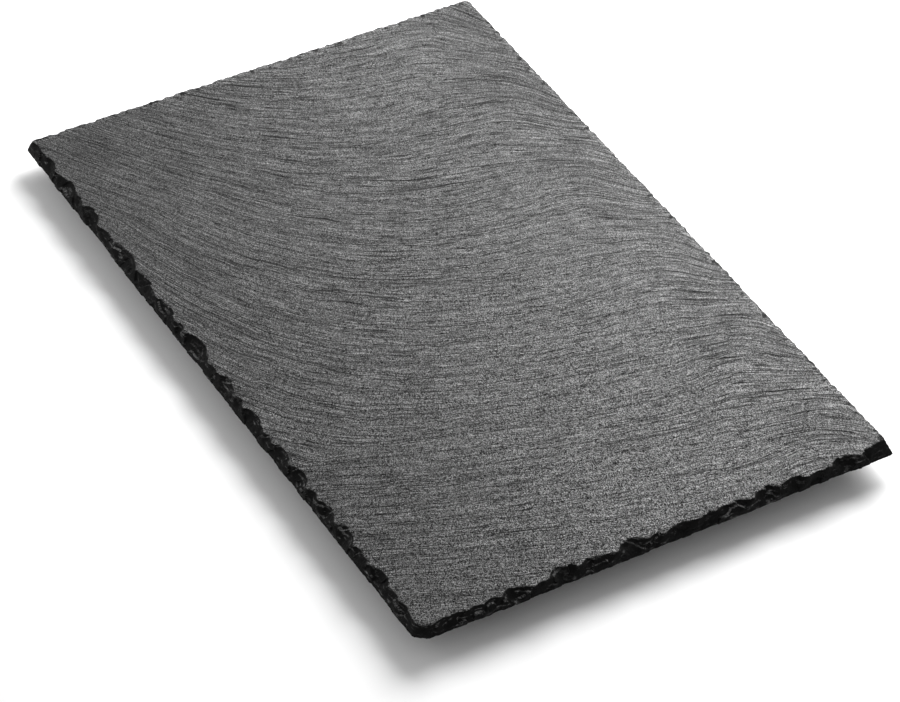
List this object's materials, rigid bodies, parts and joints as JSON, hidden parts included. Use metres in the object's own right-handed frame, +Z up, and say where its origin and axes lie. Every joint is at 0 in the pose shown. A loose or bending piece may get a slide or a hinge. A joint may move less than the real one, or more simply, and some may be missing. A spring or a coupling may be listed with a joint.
{
  "type": "slate serving board",
  "caption": "Flat rectangular slate serving board with a riven top and dressed, chipped edges, raised on round rubber feet that foam discs hold to the stone.",
  "frame": {"origin": "on the table, below the centre of the slab's outline", "axes": "+X along the board's length, +Y along its width, +Z up out of the serving face"},
  "size_m": [0.3, 0.2, 0.015],
  "materials": {
    "slate": "riven, matt, with darker broken edges",
    "foot_rubber": "moulded, matt",
    "adhesive_foam": "die-cut foam tape"
  },
  "bodies": {
    "root": {"slate_slab": "slate", "adhesive_pad_front_left": "adhesive_foam", "adhesive_pad_front_right": "adhesive_foam", "adhesive_pad_back_left": "adhesive_foam", "adhesive_pad_back_right": "adhesive_foam", "foot_front_left": "foot_rubber", "foot_front_right": "foot_rubber", "foot_back_left": "foot_rubber", "foot_back_right": "foot_rubber"}
  },
  "joints": []
}
